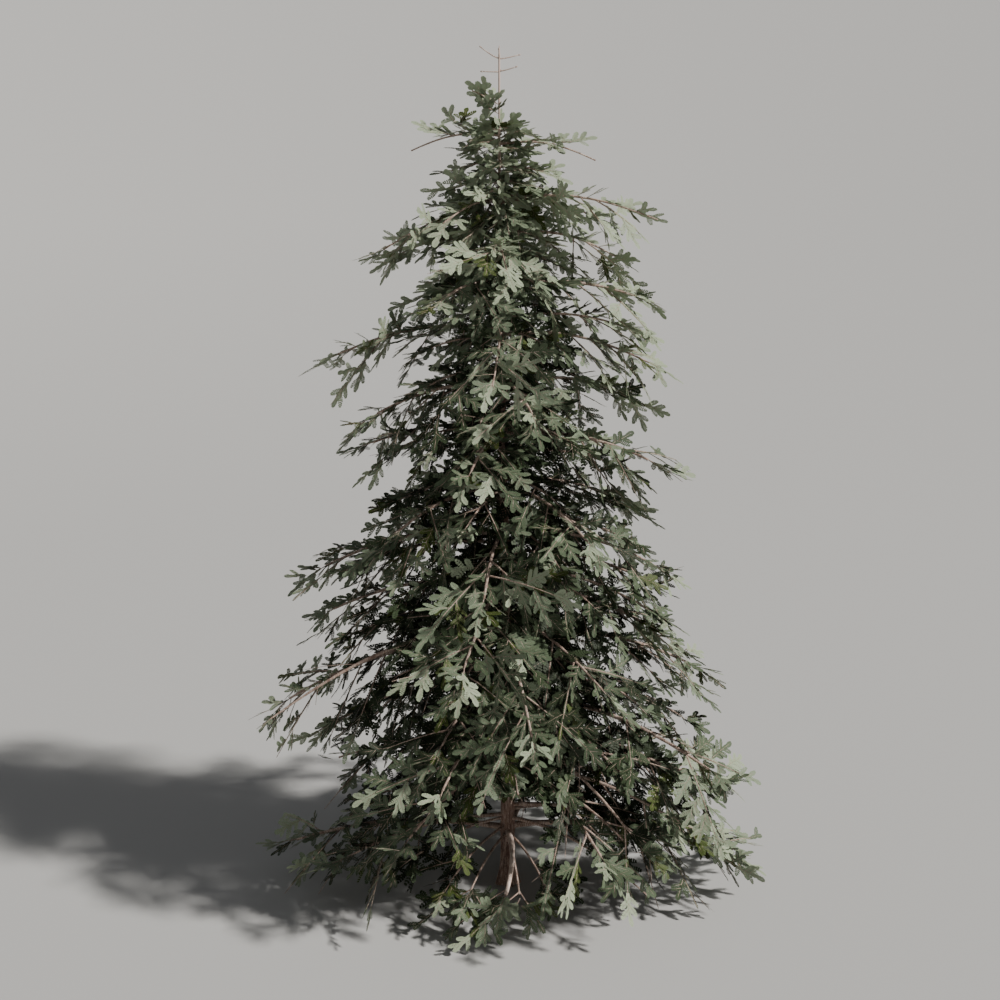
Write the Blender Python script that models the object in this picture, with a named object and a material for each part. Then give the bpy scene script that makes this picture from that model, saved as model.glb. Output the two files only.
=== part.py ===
"""A young silver fir, six metres tall, as it stands rooted in the ground.

The trunk is one tapering stem from a flat cut at ground level to its bare leader. Boughs leave it in levels,
arch out and hang. The lowest boughs are bare near the trunk, so each is a limb of its own with a mass of
foliage at its end. Higher up the foliage hides the limb, so a mass carries its own stem from the trunk.
Every mass is one stem with flat, lobed sprays of needles fused to both sides of it.

Metres, +Z up, origin at the middle of the cut under the trunk. -Y is the front.
"""

import math
from collections import namedtuple
from random import Random

import bpy
from mathutils import Vector
from mathutils.bvhtree import BVHTree

# ---- Driving dimensions ------------------------------------------------------------------------------
TREE_HEIGHT = 6.0
TRUNK_RADIUS = 0.056  # just above the root flare
LEADER_RADIUS = 0.003  # at the very tip
LEAN = 0.062  # how far the top stands to the left of the foot
WAVE = 0.010  # how far the trunk bends off a straight line
WAVE_ASIDE = 0.6  # the wave's share from front to back
FLARE_HEIGHT = 0.26
FLARE_SPREAD = 0.034  # what the flare adds to the radius at ground level
FLARE_RIDGES = 5
RIDGE_HEIGHT = 0.35  # of the flare's spread
RIDGE_TURN = 0.5
TRUNK_SIDES = 12
# Heights of the corners round the trunk. Between them it runs straight, up to its point at the top.
TRUNK_RINGS = (0.0, 0.03, 0.08, 0.15, FLARE_HEIGHT, 0.6, 1.2, 2.0, 2.8, 3.6, 4.4, 5.1, 5.6, 5.85, TREE_HEIGHT)

BOUGH_THICKNESS = 0.0115  # radius at the trunk for each metre of reach
BOUGH_BASE = 0.001  # radius at the trunk that even the shortest bough has besides
TWIG_END_RADIUS = 0.0045
TAPER_POWER = 0.9
BOUGH_SIDES = 6
BOUGH_SPANS = 4
STEM_SIDES = 3
ARCH = 0.07  # how far a bough rises over its straight fall, as a share of its reach
FALL_POWER = 1.35  # how a bough's fall grows along it
DIRECTION_STEP = 0.01  # the share of a bough on each side of a point that gives its direction there
SEAT_GAP = 0.0003  # between a limb and what carries it
SEAT_STEPS = 20  # how finely the trunk's facets are felt for on each side of a seat
KEEP_CLEAR = 0.003  # between a mass and any other
GROUND_CLEARANCE = 0.02

SPRAY_LENGTH = 0.20  # the longest spray of a mass, and what each metre of its bough's reach adds to it
SPRAY_GROWTH = 0.26
SPRAY_WIDTH = 0.74  # of its length
SPRAY_THICKNESS = 0.018  # of its length
SPRAY_ROOT = 0.32  # how thick a side twig is at its root, as a share of its stem
ROOT_DEPTH = 0.3  # how far past the middle of its stem a side twig's root lies, as a share of the radius
SPRAY_SINK = 0.006  # how far a stem runs on into its end spray, as a share of its bough's reach
SPRAY_TURN = 66.0  # degrees between a side spray and its bough, at the trunk, and how many fewer at the tip
SPRAY_LEAN = 16.0
TURN_JITTER = 6.0
SIDE_HANG = (18.0, 42.0)  # degrees by which sprays hang, from the least to the most
END_HANG = (0.0, 10.0)
SPRAY_ROLL = 20.0  # degrees that side sprays are turned about their own ribs, so that they overlap like slats
ROLL_JITTER = 8.0
END_SPRAY = 0.62  # the end spray's length, as a share of the longest one's
END_CLEAR = 1.05  # where the last side spray sits, in end sprays back from the tip
BARE_TIP_CLEAR = 0.25  # the same before a bare tip, in longest sprays back from it
FIRST_SEAT = 0.17  # the share of a bough before its first spray, and how far that is past a bare limb
LIMB_CLEAR = 0.04
FULLNESS = (0.25, 0.50)  # the start and the span of the half wave that gives the lengths of side sprays
LENGTH_JITTER = (0.88, 1.10)
SPRAY_TRIES = 6  # how often a spray that meets something is turned and shortened before it is left out
SPRAY_SHRINK = 0.93
SPRAY_SEED = 7  # added to the seed of a bough

# One level of boughs: the height at which they leave the trunk, how far they reach to the left, to the right
# and to the front, how far their tips hang below where they start, how many they are, the azimuth of the
# first (degrees from +X towards +Y; 270 is the front), how many pairs of side sprays each carries, the share
# of its reach that is a bare twig at the tip, and the share that is a bare limb first.
Level = namedtuple("Level", "height left right front drop boughs azimuth pairs bare_tip bare_limb")
LEVELS = (
    Level(0.42, 1.90, 2.00, 1.12, 0.23, 4, 262, 4, 0.00, 0.38),
    Level(0.98, 1.64, 1.84, 1.36, 0.42, 5, 306, 3, 0.00, 0.00),
    Level(1.48, 1.54, 1.82, 1.46, 0.48, 4, 250, 3, 0.00, 0.00),
    Level(1.92, 1.92, 1.82, 1.40, 0.52, 4, 186, 3, 0.00, 0.00),
    Level(2.32, 1.66, 1.44, 1.34, 0.46, 4, 258, 3, 0.00, 0.00),
    Level(2.70, 1.50, 1.38, 1.30, 0.40, 4, 176, 3, 0.00, 0.00),
    Level(3.06, 1.32, 1.34, 1.16, 0.38, 4, 214, 3, 0.00, 0.00),
    Level(3.42, 1.20, 1.32, 1.10, 0.31, 4, 172, 3, 0.00, 0.00),
    Level(3.78, 1.14, 1.20, 1.00, 0.31, 4, 196, 2, 0.00, 0.00),
    Level(4.12, 1.18, 1.10, 0.94, 0.24, 4, 176, 2, 0.10, 0.00),
    Level(4.44, 1.00, 1.12, 0.84, 0.18, 3, 238, 2, 0.00, 0.00),
    Level(4.74, 0.74, 1.08, 0.70, 0.16, 3, 154, 2, 0.12, 0.00),
    Level(5.00, 0.64, 0.68, 0.54, 0.12, 3, 236, 2, 0.20, 0.00),
    Level(5.25, 0.34, 0.38, 0.38, 0.08, 2, 160, 2, 0.00, 0.00),
    Level(5.40, 0.60, 0.66, 0.30, 0.10, 2, 182, 1, 0.48, 0.00),
    Level(5.62, 0.20, 0.20, 0.20, -0.08, 1, 196, 1, 0.00, 0.00),
)
AZIMUTH_JITTER = 9.0  # degrees
REACH_JITTER = 0.06
DROP_JITTER = 0.14
HEIGHT_JITTER = 0.035
SWAY = 0.10  # how far a bough's tip bends aside, as a share of its reach

# Bare twigs under the tip of the leader: height on it, azimuth, length, rise at the twig's end.
LeaderTwig = namedtuple("LeaderTwig", "height azimuth length rise")
LEADER_TWIGS = (
    LeaderTwig(5.915, 176, 0.120, 0.070),
    LeaderTwig(5.912, 8, 0.130, 0.026),
    LeaderTwig(5.918, 268, 0.090, 0.045),
    LeaderTwig(5.830, 182, 0.112, 0.002),
    LeaderTwig(5.834, 352, 0.110, 0.026),
    LeaderTwig(5.827, 84, 0.100, 0.020),
)
LEADER_TWIG_RADIUS = 0.0035
LEADER_TWIG_SIDES = 4
LEADER_TWIG_BEND = (0.55, 0.35)  # the bend's shares of the twig's length and rise

UP = Vector((0.0, 0.0, 1.0))

Bough = namedtuple("Bough", "name level azimuth reach height drop sway seed")
# A closed piece of a mass or limb, before it is fused: its corners and its faces.
Piece = namedtuple("Piece", "corners faces")


# ---- Trunk -------------------------------------------------------------------------------------------
def trunk_bend(height):
    """The trunk's slight lean to the left, with one slow wave in it."""
    share = height / TREE_HEIGHT
    wave = WAVE * math.sin(2.0 * math.pi * share)
    return Vector((-LEAN * share + wave, WAVE_ASIDE * wave, height))


def trunk_centre(height):
    """The middle of the trunk at a height, on the straight line between the two rings around it."""
    above = next(k for k in range(1, len(TRUNK_RINGS)) if height <= TRUNK_RINGS[k])
    low, high = TRUNK_RINGS[above - 1], TRUNK_RINGS[above]
    return trunk_bend(low).lerp(trunk_bend(high), (height - low) / (high - low))


def trunk_radius(height, azimuth=0.0):
    """The trunk's radius: an even taper, and near the ground the root flare with its low ridges."""
    share = height / TREE_HEIGHT
    radius = LEADER_RADIUS + (TRUNK_RADIUS - LEADER_RADIUS) * (1.0 - share)
    flare = max(0.0, 1.0 - height / FLARE_HEIGHT) ** 2
    ridges = 1.0 + RIDGE_HEIGHT * math.cos(FLARE_RIDGES * azimuth + RIDGE_TURN)
    return radius + FLARE_SPREAD * flare * ridges


def trunk_surface(height, azimuth):
    """The distance from the trunk's middle to its faceted surface in a direction."""
    half_side = math.pi / TRUNK_SIDES
    from_corner = azimuth % (2.0 * half_side)
    flat = trunk_radius(height, azimuth) * math.cos(half_side)
    return flat / math.cos(from_corner - half_side)


def trunk_piece():
    heights = TRUNK_RINGS[:-1]
    corners = []
    for height in heights:
        centre = trunk_centre(height)
        for k in range(TRUNK_SIDES):
            angle = 2.0 * math.pi * k / TRUNK_SIDES
            radius = trunk_radius(height, angle)
            corners.append(centre + radius * Vector((math.cos(angle), math.sin(angle), 0.0)))
    return closed_tube(corners, len(heights), TRUNK_SIDES, trunk_centre(TREE_HEIGHT))


def leader_twig_piece(twig):
    angle = math.radians(twig.azimuth)
    out = Vector((math.cos(angle), math.sin(angle), 0.0))
    start = trunk_centre(twig.height)
    bend = start + out * twig.length * LEADER_TWIG_BEND[0] + UP * twig.rise * LEADER_TWIG_BEND[1]
    end = start + out * twig.length + UP * twig.rise
    return limb_piece([start, bend, end], [LEADER_TWIG_RADIUS] * 3, LEADER_TWIG_SIDES, out)


# ---- Closed pieces -----------------------------------------------------------------------------------
def closed_tube(corners, rings, sides, apex=None):
    """Rings of corners joined into a closed tube: flat at its root, and flat or at a point at its end."""
    faces = [tuple(reversed(range(sides)))]
    for ring in range(rings - 1):
        for k in range(sides):
            a = ring * sides + k
            b = ring * sides + (k + 1) % sides
            faces.append((a, b, b + sides, a + sides))
    last = (rings - 1) * sides
    if apex is None:
        faces.append(tuple(range(last, last + sides)))
    else:
        corners = corners + [apex]
        faces += [(last + k, last + (k + 1) % sides, len(corners) - 1) for k in range(sides)]
    return Piece(corners, faces)


def frame_along(direction):
    """The level side vector and the up vector of a limb that runs in a direction."""
    side = UP.cross(direction).normalized()
    return side, direction.cross(side).normalized()


def limb_piece(path, radii, sides, root_direction, end_direction=None, pointed=False):
    """A tapering limb along a path. Its root and its end are cut square to the directions given."""
    corners = []
    rings = len(path) - 1 if pointed else len(path)
    for i in range(rings):
        ahead = path[min(i + 1, len(path) - 1)]
        direction = (ahead - path[max(i - 1, 0)]).normalized()
        if i == 0:
            direction = root_direction
        elif i == len(path) - 1 and end_direction is not None:
            direction = end_direction
        side, up = frame_along(direction)
        for k in range(sides):
            angle = 2.0 * math.pi * k / sides - math.pi / 2.0
            corners.append(path[i] + radii[i] * (math.cos(angle) * side + math.sin(angle) * up))
    return closed_tube(corners, rings, sides, path[-1] if pointed else None)


# Half of a spray's outline, from where its needles start to its tip: shares of its length and of half its
# width.
SPRAY_OUTLINE = ((0.20, 0.08), (0.50, 0.98), (0.60, 0.42), (0.80, 0.74), (0.84, 0.26))
SPRAY_CENTRE = 0.54


def spray_piece(root, along, across, length, rib, swell=0.0):
    """A side twig with its flat spray of needles, as one piece in the plane of along and across. The twig is
    three-sided at its root, which sinks into the stem, and runs on as a rib under a toothed blade. The blade
    is thickest at its middle and thin at its edge."""
    normal = along.cross(across).normalized()
    half_width = 0.5 * SPRAY_WIDTH * length + swell
    half_thick = 0.5 * SPRAY_THICKNESS * length + swell
    long = length + swell
    rib = rib + swell
    right = [root + along * (share * long) + across * (out * half_width) for share, out in SPRAY_OUTLINE]
    left = [root + along * (share * long) - across * (out * half_width) for share, out in SPRAY_OUTLINE]
    edge = right + [root + along * long] + left[::-1]
    middle = root + along * (SPRAY_CENTRE * long)
    root_right = root + across * rib + normal * 0.5 * rib
    root_left = root - across * rib + normal * 0.5 * rib
    corners = edge + [middle + normal * half_thick, middle - normal * half_thick]
    corners += [root_right, root_left, root - normal * rib]
    above, below, root_right, root_left, root_below = range(len(edge), len(edge) + 5)
    faces = []
    for a in range(len(edge) - 1):
        faces += [(a + 1, a, above), (a, a + 1, below)]
    first, last = 0, len(edge) - 1
    faces += [(first, last, above), (last, first, root_right, root_left)]
    faces += [(last, root_below, below), (root_below, first, below)]
    faces += [(last, root_left, root_below), (first, root_below, root_right)]
    faces += [(root_left, root_right, root_below)]
    return Piece(corners, faces)


# ---- The rule that the boughs follow -----------------------------------------------------------------
def crown_reach(level, azimuth):
    """How far the crown reaches at a level in a direction: an ellipse's quarter between each two sides. The
    back reaches as far as the mean of left and right."""
    aside = level.right if math.cos(azimuth) > 0.0 else level.left
    ahead = level.front if math.sin(azimuth) < 0.0 else 0.5 * (level.left + level.right)
    return math.hypot(aside * math.cos(azimuth), ahead * math.sin(azimuth))


def all_boughs():
    """Every bough of the tree, level by level, with its own small differences."""
    boughs = []
    for number, level in enumerate(LEVELS, start=1):
        for k in range(level.boughs):
            seed = 100 * number + k
            chance = Random(seed)
            jitter = AZIMUTH_JITTER * chance.uniform(-1, 1) if k else 0.0
            azimuth = math.radians(level.azimuth + 360.0 * k / level.boughs + jitter)
            reach = crown_reach(level, azimuth) * (1.0 + REACH_JITTER * chance.uniform(-1, 1))
            boughs.append(
                Bough(
                    name=f"{number:02d}_{'abcde'[k]}",
                    level=level,
                    azimuth=azimuth,
                    reach=reach,
                    height=level.height + HEIGHT_JITTER * chance.uniform(-1, 1),
                    drop=level.drop * (1.0 + DROP_JITTER * chance.uniform(-1, 1)),
                    sway=SWAY * chance.uniform(-1, 1),
                    seed=seed,
                )
            )
    return boughs


def bough_out(bough):
    return Vector((math.cos(bough.azimuth), math.sin(bough.azimuth), 0.0))


def bough_point(bough, share):
    """A point on a bough's centre line. It leaves the trunk level, arches a little and then hangs."""
    out = bough_out(bough)
    aside = UP.cross(out) * bough.sway * bough.reach * share**2
    rise = ARCH * bough.reach * math.sin(math.pi * share) - bough.drop * share**FALL_POWER
    return trunk_centre(bough.height) + out * (bough.reach * share) + aside + UP * rise


def bough_direction(bough, share):
    ahead = bough_point(bough, share + DIRECTION_STEP)
    return (ahead - bough_point(bough, share - DIRECTION_STEP)).normalized()


def bough_radius(bough, share):
    start = BOUGH_THICKNESS * bough.reach + BOUGH_BASE
    return TWIG_END_RADIUS + (start - TWIG_END_RADIUS) * (1.0 - share) ** TAPER_POWER


def seat_share(bough, radius):
    """The share of its reach at which a bough's square root just clears the trunk, over the root's whole
    width and height."""
    foot = trunk_centre(bough.height)
    spread = math.asin(min(1.0, radius / trunk_radius(bough.height)))
    farthest = 0.0
    for rise in (-radius, 0.0, radius):
        offset = (trunk_centre(bough.height + rise) - foot).dot(bough_out(bough))
        for k in range(-SEAT_STEPS, SEAT_STEPS + 1):
            turn = spread * k / SEAT_STEPS
            surface = trunk_surface(bough.height + rise, bough.azimuth + turn)
            farthest = max(farthest, offset + surface * math.cos(turn))
    return (farthest + SEAT_GAP) / bough.reach


def limb_of(bough):
    """The bare part of a bough, from the trunk to where it enters its foliage."""
    first = seat_share(bough, bough_radius(bough, 0.0))
    last = bough.level.bare_limb
    shares = [first + (last - first) * i / BOUGH_SPANS for i in range(BOUGH_SPANS + 1)]
    path = [bough_point(bough, share) for share in shares]
    radii = [bough_radius(bough, share) for share in shares]
    return limb_piece(path, radii, BOUGH_SIDES, bough_out(bough), bough_direction(bough, last))


def stem_of(bough):
    """The stem of a mass: it goes on from its bough's end, or from the trunk, to the end spray or the tip."""
    level = bough.level
    last = 1.0 if level.bare_tip else spray_seats(bough)[-1][0] + SPRAY_SINK
    if level.bare_limb:
        first = level.bare_limb
        root_direction = bough_direction(bough, first)
        start = bough_point(bough, first) + root_direction * SEAT_GAP
    else:
        first = seat_share(bough, bough_radius(bough, 0.0))
        root_direction = bough_out(bough)
        start = bough_point(bough, first)
    shares = [first + (last - first) * i / BOUGH_SPANS for i in range(BOUGH_SPANS + 1)]
    path = [start] + [bough_point(bough, share) for share in shares[1:]]
    radii = [bough_radius(bough, share) for share in shares]
    return limb_piece(path, radii, STEM_SIDES, root_direction, pointed=level.bare_tip > 0.0)


def spray_seats(bough):
    """Where the sprays of a mass sit: share along the bough, side (0 for the end one) and length. The end
    spray's tip is the bough's tip, and a bough with a bare tip has none."""
    level = bough.level
    longest = SPRAY_LENGTH + SPRAY_GROWTH * bough.reach
    end = END_SPRAY * longest
    clear = BARE_TIP_CLEAR * longest if level.bare_tip else END_CLEAR * end
    first = max(level.bare_limb + LIMB_CLEAR, FIRST_SEAT)
    last = 1.0 - level.bare_tip - clear / bough.reach
    count = 2 * level.pairs
    seats = []
    for j in range(count):
        share = first + (last - first) * j / (count - 1)
        fullness = math.sin(math.pi * (FULLNESS[0] + FULLNESS[1] * (share - first) / (last - first)))
        seats.append((share, 1 if j % 2 else -1, longest * fullness))
    if not level.bare_tip:
        seats.append((1.0 - end / bough.reach, 0, end))
    return seats


def spray_frame(bough, share, side, chance):
    """The direction in which a spray grows, and the level direction across it."""
    direction = bough_direction(bough, share)
    aside, up = frame_along(direction)
    turn = math.radians(side * (SPRAY_TURN - SPRAY_LEAN * share) + TURN_JITTER * chance.uniform(-1, 1))
    along = direction * math.cos(turn) + aside * math.sin(turn)
    hang = math.radians(chance.uniform(*(SIDE_HANG if side else END_HANG)))
    along = (along * math.cos(hang) - UP * math.sin(hang)).normalized()
    across, lift = frame_along(along)
    roll = math.radians(side * SPRAY_ROLL + ROLL_JITTER * chance.uniform(-1, 1))
    return along, across * math.cos(roll) + lift * math.sin(roll)


# ---- Keeping the masses apart ------------------------------------------------------------------------
class Room:
    """The pieces that are in place, so that others keep clear of them."""

    def __init__(self):
        self.taken = []

    def add(self, piece, fused_to=None):
        """Takes the room of a piece. Sprays may cross the stem of their own mass, which is fused_to it."""
        middle = sum(piece.corners, Vector()) / len(piece.corners)
        size = max((corner - middle).length for corner in piece.corners)
        self.taken.append((fused_to, BVHTree.FromPolygons(piece.corners, piece.faces), middle, size))

    def free_for(self, node, swollen):
        """Whether a piece, swollen by the clearance, meets nothing but its own stem, and not the ground."""
        if min(corner.z for corner in swollen.corners) < GROUND_CLEARANCE:
            return False
        tree = BVHTree.FromPolygons(swollen.corners, swollen.faces)
        middle = sum(swollen.corners, Vector()) / len(swollen.corners)
        size = max((corner - middle).length for corner in swollen.corners)
        for owner, other_tree, other_middle, other_size in self.taken:
            near = (middle - other_middle).length < size + other_size
            if owner != node and near and tree.overlap(other_tree):
                return False
        return True


def sprays_of(bough, node, room):
    """The sprays of one mass. One that meets another mass is turned a few times, and then skipped."""
    chance = Random(bough.seed + SPRAY_SEED)
    sprays = []
    for share, side, length in spray_seats(bough):
        length *= chance.uniform(*LENGTH_JITTER)
        for _ in range(SPRAY_TRIES):
            along, across = spray_frame(bough, share, side, chance)
            radius = bough_radius(bough, share)
            root = bough_point(bough, share) - along * (ROOT_DEPTH * radius)
            rib = SPRAY_ROOT * radius
            if room.free_for(node, spray_piece(root, along, across, length, rib, KEEP_CLEAR)):
                piece = spray_piece(root, along, across, length, rib)
                room.add(piece)
                sprays.append(piece)
                break
            length *= SPRAY_SHRINK
    return sprays


# ---- Objects -----------------------------------------------------------------------------------------
def material(name, colour, roughness):
    made = bpy.data.materials.new(name)
    made.use_nodes = True
    shader = made.node_tree.nodes["Principled BSDF"]
    shader.inputs["Base Color"].default_value = (*colour, 1.0)
    shader.inputs["Roughness"].default_value = roughness
    shader.inputs["Metallic"].default_value = 0.0
    return made


def make_object(name, piece, finish, collection):
    mesh = bpy.data.meshes.new(name)
    mesh.from_pydata([tuple(corner) for corner in piece.corners], [], piece.faces)
    mesh.materials.append(finish)
    made = bpy.data.objects.new(name, mesh)
    collection.objects.link(made)
    return made


def fuse(name, pieces, finish):
    """Joins closed pieces that cross each other into one solid, with one Boolean union on a collection."""
    scene = bpy.context.scene.collection
    body = make_object(name, pieces[0], finish, scene)
    if len(pieces) == 1:
        return body
    others = bpy.data.collections.new(name + "_pieces")
    scene.children.link(others)
    for number, piece in enumerate(pieces[1:]):
        make_object(f"{name}_piece_{number}", piece, finish, others)
    union = body.modifiers.new("union", "BOOLEAN")
    union.operation = "UNION"
    union.operand_type = "COLLECTION"
    union.collection = others
    union.solver = "MANIFOLD"
    bpy.context.view_layer.update()
    graph = bpy.context.evaluated_depsgraph_get()
    fused = bpy.data.meshes.new_from_object(body.evaluated_get(graph))
    body.modifiers.clear()
    body.data = fused
    for piece in list(others.objects):
        bpy.data.objects.remove(piece)
    bpy.data.collections.remove(others)
    return body


def clear_scene():
    for old in list(bpy.data.objects):
        bpy.data.objects.remove(old)


def main():
    clear_scene()
    bark = material("bark", (0.30, 0.20, 0.15), 0.9)
    needles = material("needles", (0.26, 0.33, 0.22), 0.75)
    boughs = all_boughs()
    room = Room()

    fuse("trunk", [trunk_piece()] + [leader_twig_piece(twig) for twig in LEADER_TWIGS], bark)
    room.add(trunk_piece())
    for twig in LEADER_TWIGS:
        room.add(leader_twig_piece(twig))

    for bough in boughs:
        if bough.level.bare_limb:
            node = "bough_" + bough.name
            limb = limb_of(bough)
            fuse(node, [limb], bark)
            room.add(limb)
        room.add(stem_of(bough), fused_to="foliage_" + bough.name)

    for bough in boughs:
        node = "foliage_" + bough.name
        fuse(node, [stem_of(bough)] + sprays_of(bough, node, room), needles)


main()
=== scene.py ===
# %% [markdown]
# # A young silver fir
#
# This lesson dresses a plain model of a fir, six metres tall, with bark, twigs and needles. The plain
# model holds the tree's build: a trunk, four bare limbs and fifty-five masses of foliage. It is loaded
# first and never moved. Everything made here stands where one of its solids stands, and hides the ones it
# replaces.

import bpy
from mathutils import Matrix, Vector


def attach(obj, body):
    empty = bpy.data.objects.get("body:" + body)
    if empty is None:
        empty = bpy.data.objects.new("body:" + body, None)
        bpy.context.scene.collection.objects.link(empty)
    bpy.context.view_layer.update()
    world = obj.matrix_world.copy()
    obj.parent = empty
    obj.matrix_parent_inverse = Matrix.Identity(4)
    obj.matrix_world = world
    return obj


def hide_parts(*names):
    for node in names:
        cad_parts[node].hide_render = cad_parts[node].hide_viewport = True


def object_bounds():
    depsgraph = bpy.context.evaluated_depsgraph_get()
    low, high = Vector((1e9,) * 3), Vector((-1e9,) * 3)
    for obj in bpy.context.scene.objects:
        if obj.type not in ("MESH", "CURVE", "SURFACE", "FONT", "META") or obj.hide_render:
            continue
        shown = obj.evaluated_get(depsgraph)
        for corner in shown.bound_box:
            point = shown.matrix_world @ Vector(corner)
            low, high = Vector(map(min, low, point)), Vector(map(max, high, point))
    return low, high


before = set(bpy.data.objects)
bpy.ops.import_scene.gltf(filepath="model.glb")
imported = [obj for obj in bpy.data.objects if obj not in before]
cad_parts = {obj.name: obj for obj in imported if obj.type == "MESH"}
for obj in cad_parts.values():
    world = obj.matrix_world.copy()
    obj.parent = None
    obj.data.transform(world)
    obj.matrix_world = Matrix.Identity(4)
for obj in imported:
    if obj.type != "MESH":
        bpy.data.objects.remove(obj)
solid_box = [list(corner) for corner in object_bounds()]
print("the solids reach from", solid_box[0], "to", solid_box[1])

# %% Tools of the lesson
import math
from collections import namedtuple
from random import Random

import bpy
import numpy as np
from mathutils import Vector

UP = np.array([0.0, 0.0, 1.0])

# %% [markdown]
# ## The camera
#
# The tree is seen from a little above its middle, from about ten metres away, with a normal lens. A
# camera looks down its own -Z axis, so the way from the camera to its target is turned into a rotation.

# %% Camera
CAMERA_LENS = 50.0  # mm
SENSOR_WIDTH = 36.0  # mm
CAMERA_DISTANCE = 9.785
CAMERA_ELEVATION = math.radians(13.0)
CAMERA_TARGET = Vector((-0.057, 0.0, 2.94))


def add_camera():
    """A camera in front of the tree, raised by its elevation and turned to its target."""
    camera = bpy.data.objects.new("camera", bpy.data.cameras.new("camera"))
    bpy.context.scene.collection.objects.link(camera)
    back = Vector((0.0, -math.cos(CAMERA_ELEVATION), math.sin(CAMERA_ELEVATION)))
    camera.data.lens = CAMERA_LENS
    camera.data.sensor_width = SENSOR_WIDTH
    camera.location = CAMERA_TARGET + back * CAMERA_DISTANCE
    camera.rotation_euler = (-back).to_track_quat("-Z", "Y").to_euler()
    bpy.context.scene.camera = camera
    return camera


print("the camera stands at", tuple(round(x, 2) for x in add_camera().location))

# %% [markdown]
# ## The rule that the tree grows by
#
# A fir puts out one level of boughs a year, so its crown is a stack of levels. Each level is one line of
# a table: where its boughs leave the trunk, how far they reach to each side, how far their tips hang, how
# many they are and where the first one points. The plain model was built from the same table and the same
# random seeds, so boughs made here run through the middle of its masses.

# %% Driving dimensions
TREE_HEIGHT = 6.0
TRUNK_RADIUS = 0.056
LEADER_RADIUS = 0.003
LEAN = 0.062
WAVE = 0.010
WAVE_AHEAD = 0.6  # of the wave, across the first one
FLARE_HEIGHT = 0.26
FLARE_SPREAD = 0.034
FLARE_RIDGES = 5
RIDGE_RELIEF = 0.35
RIDGE_PHASE = 0.5
BOUGH_THICKNESS = 0.0115  # a strong bough's radius at its root, for each metre of reach
BOUGH_TAPER = 0.9
LEAST_RADIUS = 0.001
LESSER_THICKNESS = 0.8
TWIG_END_RADIUS = 0.0045
ARCH = 0.07
SPRAY_LENGTH = 0.20
SPRAY_GROWTH = 0.26
AZIMUTH_JITTER = 9.0
REACH_JITTER = 0.06
DROP_JITTER = 0.14
HEIGHT_JITTER = 0.035
SWAY_JITTER = 0.10
DROP_POWER = 1.35

Level = namedtuple("Level", "height left right front drop boughs azimuth bare_tip bare_limb")
LEVEL_ROWS = (
    (0.42, 1.90, 2.00, 1.12, 0.23, 4, 262, 0.00, 0.38),
    (0.98, 1.64, 1.84, 1.36, 0.42, 5, 306, 0.00, 0.00),
    (1.48, 1.54, 1.82, 1.46, 0.48, 4, 250, 0.00, 0.00),
    (1.92, 1.92, 1.82, 1.40, 0.52, 4, 186, 0.00, 0.00),
    (2.32, 1.66, 1.44, 1.34, 0.46, 4, 258, 0.00, 0.00),
    (2.70, 1.50, 1.38, 1.30, 0.40, 4, 176, 0.00, 0.00),
    (3.06, 1.32, 1.34, 1.16, 0.38, 4, 214, 0.00, 0.00),
    (3.42, 1.20, 1.32, 1.10, 0.31, 4, 172, 0.00, 0.00),
    (3.78, 1.14, 1.20, 1.00, 0.31, 4, 196, 0.00, 0.00),
    (4.12, 1.18, 1.10, 0.94, 0.24, 4, 176, 0.10, 0.00),
    (4.44, 1.00, 1.12, 0.84, 0.18, 3, 238, 0.00, 0.00),
    (4.74, 0.74, 1.08, 0.70, 0.16, 3, 154, 0.12, 0.00),
    (5.00, 0.64, 0.68, 0.54, 0.12, 3, 236, 0.20, 0.00),
    (5.25, 0.34, 0.38, 0.38, 0.08, 2, 160, 0.00, 0.00),
    (5.40, 0.60, 0.66, 0.30, 0.10, 2, 182, 0.48, 0.00),
    (5.62, 0.20, 0.20, 0.20, -0.08, 1, 196, 0.00, 0.00),
)
LEVELS = [Level(*row) for row in LEVEL_ROWS]

BOUGH_SIZES = ("azimuth", "reach", "height", "drop", "sway", "bare_tip", "bare_limb", "bend")
BOUGH_FIELDS = np.dtype([("level", int), ("main", bool)] + [(name, float) for name in BOUGH_SIZES])


def crown_reach(left, right, front, cosine, sine):
    """An ellipse's quarter between each two sides: the root of the sum of squares of the reach to the side
    times the cosine and the reach ahead times the sine. The back reaches as far as the mean of left and
    right."""
    aside = np.where(cosine > 0.0, right, left)
    ahead = np.where(sine < 0.0, front, 0.5 * (left + right))
    return np.hypot(aside * cosine, ahead * sine)


def reach_at(level, azimuth):
    """The crown's reach on one level, towards an azimuth."""
    return crown_reach(level.left, level.right, level.front, math.cos(azimuth), math.sin(azimuth))


def main_boughs():
    """One row for each bough of the plain model, with the same seeds and the same order of draws."""
    rows = []
    for number, level in enumerate(LEVELS, start=1):
        for k in range(level.boughs):
            chance = Random(100 * number + k)
            jitter = AZIMUTH_JITTER * chance.uniform(-1, 1) if k else 0.0
            azimuth = math.radians(level.azimuth + 360.0 * k / level.boughs + jitter)
            reach = reach_at(level, azimuth) * (1.0 + REACH_JITTER * chance.uniform(-1, 1))
            height = level.height + HEIGHT_JITTER * chance.uniform(-1, 1)
            drop = level.drop * (1.0 + DROP_JITTER * chance.uniform(-1, 1))
            sway = SWAY_JITTER * chance.uniform(-1, 1)
            bare = (level.bare_tip, level.bare_limb)
            rows.append((number, True, azimuth, reach, height, drop, sway, *bare, 0.0))
    return np.array(rows, BOUGH_FIELDS)


MAIN_BOUGHS = main_boughs()
print(len(MAIN_BOUGHS), "main boughs, the longest", round(float(MAIN_BOUGHS["reach"].max()), 2), "m")

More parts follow.
